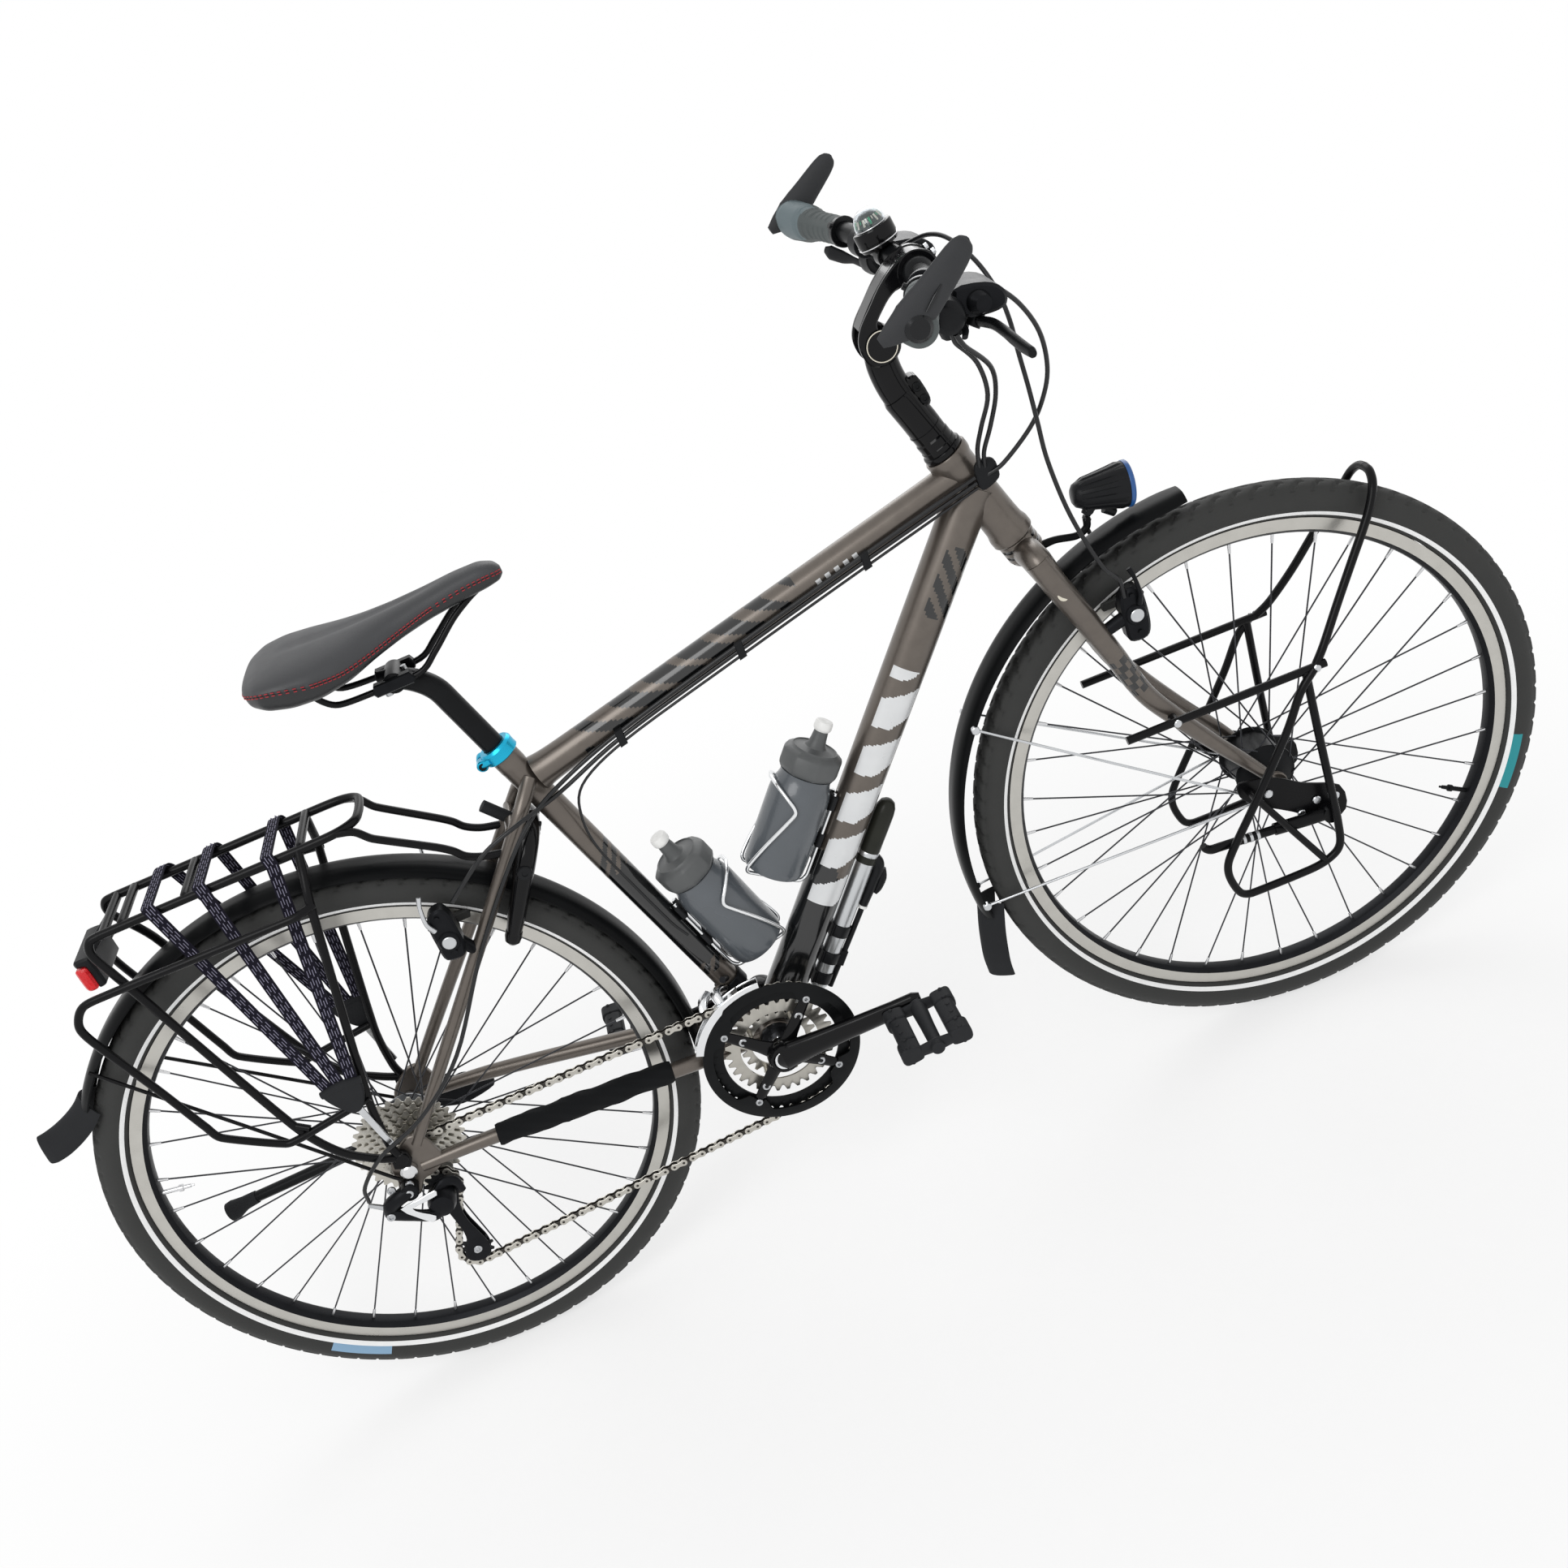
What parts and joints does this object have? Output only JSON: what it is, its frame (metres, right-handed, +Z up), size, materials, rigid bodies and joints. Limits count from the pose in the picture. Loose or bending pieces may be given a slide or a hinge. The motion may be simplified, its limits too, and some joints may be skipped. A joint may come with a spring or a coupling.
{
  "type": "touring bicycle",
  "caption": "Trekking bicycle with steel-wire racks, long mudguards, saddle, hydraulic rim brakes, bottles, pump and folding stands.",
  "frame": {"origin": "where the rear tyre's tread touches the ground, on the bicycle's middle plane", "axes": "+X forward, +Y to the rider's left, +Z up; the front wheel is stored steered 3.68 degrees to the right, as pictured"},
  "size_m": [1.8468, 0.6287, 1.1699],
  "materials": {
    "frame_paint": "satin metallic",
    "black_metal": "satin",
    "silver": "brushed",
    "steel": "polished",
    "tyre_rubber": "matt",
    "grip_rubber": "matt",
    "black_plastic": "satin",
    "gloss_black": "gloss",
    "saddle_cover": "matt",
    "bottle_plastic": "translucent smoke grey",
    "strap_webbing": "woven elastic",
    "neoprene": "matt",
    "blue_anodised": "anodised",
    "tail_lens": "gloss",
    "hose_black": "satin"
  },
  "bodies": {
    "frame_body": {"frame": "frame_paint", "rear_axle": "steel", "seat_clamp": "blue_anodised", "chainstay_sleeve": "neoprene", "chain": "silver", "rear_derailleur_cage": "black_metal", "rear_derailleur_body": "black_metal", "front_derailleur": "steel", "rear_mudguard": "black_plastic", "rear_brake_right": "black_plastic", "rear_brake_left": "black_plastic", "rear_rack": "black_metal", "rack_straps": "strap_webbing", "tail_light": "tail_lens", "ring_lock": "gloss_black", "bottle_cage_down": "steel", "bottle_cage_seat": "steel", "pump": "silver", "kickstand_mount": "black_metal", "frame_cables": "hose_black", "bar_cables": "hose_black"},
    "seat_body": {"seatpost": "black_metal", "saddle_rails": "steel", "saddle": "saddle_cover"},
    "rear_wheel": {"rear_tyre": "tyre_rubber", "rear_rim": "silver", "rear_hub": "steel"},
    "cassette_body": {"cassette": "silver"},
    "crankset": {"crank_right": "gloss_black", "crank_left": "gloss_black", "chainrings": "silver", "chain_guard": "black_plastic"},
    "right_pedal": {"pedal_right": "black_plastic"},
    "left_pedal": {"pedal_left": "black_plastic"},
    "upper_pulley": {"guide_pulley": "black_plastic"},
    "lower_pulley": {"tension_pulley": "black_plastic"},
    "rear_stand": {"kickstand_leg": "black_metal"},
    "fork_body": {"fork": "frame_paint", "stem": "gloss_black", "front_mudguard": "black_plastic", "lowrider": "black_metal", "front_brake_right": "black_plastic", "front_brake_left": "black_plastic", "front_brake_hose": "hose_black"},
    "bars": {"stem_arm": "gloss_black", "handlebar": "black_metal", "grip_right": "grip_rubber", "grip_left": "grip_rubber", "controls_right": "black_plastic", "controls_left": "black_plastic", "bell": "black_plastic"},
    "right_lever": {"brake_lever_right": "black_metal"},
    "left_lever": {"brake_lever_left": "black_metal"},
    "front_lamp": {"headlight": "black_plastic"},
    "front_stand": {"front_stand_leg": "black_metal"},
    "front_wheel": {"front_tyre": "tyre_rubber", "front_rim": "silver", "front_hub": "steel"},
    "lower_bottle": {"bottle_down": "bottle_plastic"},
    "upper_bottle": {"bottle_seat": "bottle_plastic"}
  },
  "joints": [
    {"name": "seatpost_height", "type": "slide", "parent": "frame_body", "child": "seat_body", "axis": [-0.2935, 0, 0.956], "range_m": [-0.05, 0.08]},
    {"name": "rear_wheel_spin", "type": "hinge", "parent": "frame_body", "child": "rear_wheel", "pos_m": [0, 0, 0.358], "axis": [0, 1, 0], "continuous": true},
    {"name": "cassette_spin", "type": "hinge", "parent": "frame_body", "child": "cassette_body", "pos_m": [0, 0, 0.358], "axis": [0, 1, 0], "continuous": true},
    {"name": "crank_spin", "type": "hinge", "parent": "frame_body", "child": "crankset", "pos_m": [0.455, 0, 0.29], "axis": [0, 1, 0], "continuous": true},
    {"name": "right_pedal_spin", "type": "hinge", "parent": "crankset", "child": "right_pedal", "pos_m": [0.62484, -0.088, 0.2974], "axis": [0, 1, 0], "continuous": true},
    {"name": "left_pedal_spin", "type": "hinge", "parent": "crankset", "child": "left_pedal", "pos_m": [0.28516, 0.088, 0.2826], "axis": [0, 1, 0], "continuous": true},
    {"name": "upper_pulley_spin", "type": "hinge", "parent": "frame_body", "child": "upper_pulley", "pos_m": [0.016, -0.058, 0.306], "axis": [0, 1, 0], "continuous": true},
    {"name": "lower_pulley_spin", "type": "hinge", "parent": "frame_body", "child": "lower_pulley", "pos_m": [0.012, -0.058, 0.198], "axis": [0, 1, 0], "continuous": true},
    {"name": "rear_stand_fold", "type": "hinge", "parent": "frame_body", "child": "rear_stand", "pos_m": [0.046, 0.09, 0.332], "axis": [0, 1, 0], "range_deg": [-80, 0]},
    {"name": "steering", "type": "hinge", "parent": "frame_body", "child": "fork_body", "pos_m": [1.0842, 0, 0.3403], "axis": [-0.3535, 0, 0.9354], "range_deg": [-36.32, 43.68], "deforming": ["bar_cables"]},
    {"name": "stem_angle", "type": "hinge", "parent": "fork_body", "child": "bars", "pos_m": [0.84796, -0.00122, 1.01899], "axis": [0.06, 0.9979, 0.0227], "range_deg": [-10, 10], "deforming": ["front_brake_hose", "bar_cables"]},
    {"name": "right_brake_lever", "type": "hinge", "parent": "bars", "child": "right_lever", "pos_m": [0.90975, -0.15573, 1.04041], "axis": [-0.6589, 0.0567, -0.7501], "range_deg": [0, 14], "stiffness_Nm_per_rad": 2},
    {"name": "left_brake_lever", "type": "hinge", "parent": "bars", "child": "left_lever", "pos_m": [0.92776, 0.14365, 1.04722], "axis": [0.6589, -0.0567, 0.7501], "range_deg": [0, 14], "stiffness_Nm_per_rad": 2},
    {"name": "headlight_tilt", "type": "hinge", "parent": "fork_body", "child": "front_lamp", "pos_m": [1.00396, -0.0046, 0.75495], "axis": [0.06, 0.9979, 0.0227], "range_deg": [-12, 4]},
    {"name": "front_stand_fold", "type": "hinge", "parent": "fork_body", "child": "front_stand", "pos_m": [1.17505, -0.08479, 0.30313], "axis": [0.06, 0.9979, 0.0227], "range_deg": [-100, 0]},
    {"name": "front_wheel_spin", "type": "hinge", "parent": "fork_body", "child": "front_wheel", "pos_m": [1.1306, -0.00319, 0.35796], "axis": [0.06, 0.9979, 0.0227], "continuous": true},
    {"name": "lower_bottle_slide", "type": "slide", "parent": "frame_body", "child": "lower_bottle", "axis": [0.6297, 0, 0.7769], "range_m": [0, 0.1]},
    {"name": "upper_bottle_slide", "type": "slide", "parent": "frame_body", "child": "upper_bottle", "axis": [-0.2935, 0, 0.956], "range_m": [0, 0.06]}
  ],
  "couplings": [
    {"joint": "cassette_spin", "follows": "crank_spin", "ratio": 3.9556},
    {"joint": "upper_pulley_spin", "follows": "crank_spin", "ratio": -4.0455},
    {"joint": "lower_pulley_spin", "follows": "crank_spin", "ratio": 4.0455}
  ]
}
